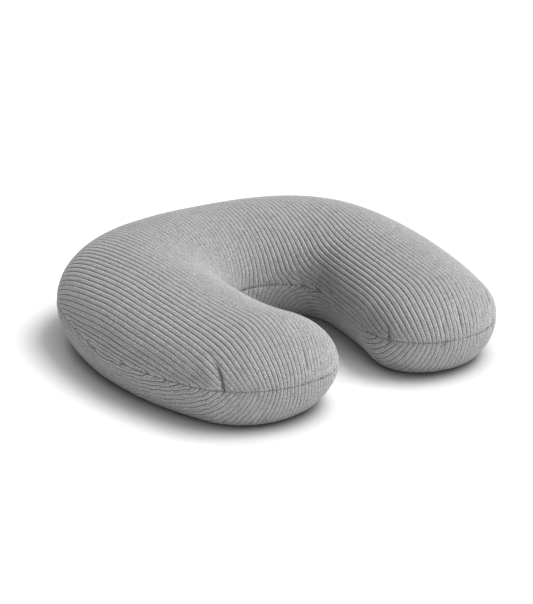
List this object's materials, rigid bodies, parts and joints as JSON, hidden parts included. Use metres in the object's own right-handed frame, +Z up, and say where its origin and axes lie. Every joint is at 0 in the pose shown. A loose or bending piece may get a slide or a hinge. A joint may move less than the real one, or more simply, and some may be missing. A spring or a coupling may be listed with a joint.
{
  "type": "nursing pillow",
  "caption": "Horseshoe-shaped stuffed nursing pillow in a rib-knit cover with a zip along the back seam, lying on its flat underside.",
  "frame": {"origin": "on the floor under the middle of the bounding box, in the plane of the flat underside", "axes": "+X across the pillow from arm to arm, +Y from the arms' tips and the opening towards the closed back, +Z up"},
  "size_m": [0.566, 0.5218, 0.1511],
  "materials": {
    "cover_knit": "heather light grey wide-rib knit, matt",
    "cover_thread": "grey sewing thread",
    "label_ribbon": "blank white satin ribbon",
    "zip_tape": "grey woven tape",
    "zip_coil": "grey nylon coil, satin",
    "zip_metal": "grey lacquered zinc",
    "insert_cloth": "plain white woven cloth",
    "insert_thread": "white sewing thread",
    "fibre_fill": "loose white polyester fibre"
  },
  "bodies": {
    "pillow": {"cover_top_panel": "cover_knit", "cover_bottom_panel": "cover_knit", "cover_seam_thread": "cover_thread", "care_label": "label_ribbon", "zip_tape_upper": "zip_tape", "zip_tape_lower": "zip_tape", "zip_coil_upper": "zip_coil", "zip_coil_lower": "zip_coil", "zip_top_stops": "zip_metal", "zip_bottom_stop": "zip_metal", "insert_top_panel": "insert_cloth", "insert_bottom_panel": "insert_cloth", "insert_seam_thread": "insert_thread", "filling": "fibre_fill"},
    "slider": {"zip_slider": "zip_metal"},
    "pull_tab": {"zip_pull_tab": "zip_metal"}
  },
  "joints": [
    {"name": "zip_travel", "type": "hinge", "parent": "pillow", "child": "slider", "pos_m": [0, -0.753, 0.067], "axis": [0, 0, 1], "range_deg": [-11.2, 0]},
    {"name": "pull_flip", "type": "hinge", "parent": "slider", "child": "pull_tab", "pos_m": [-0.09913, 0.258, 0.067], "axis": [0, 0, 1], "range_deg": [0, 165]}
  ]
}
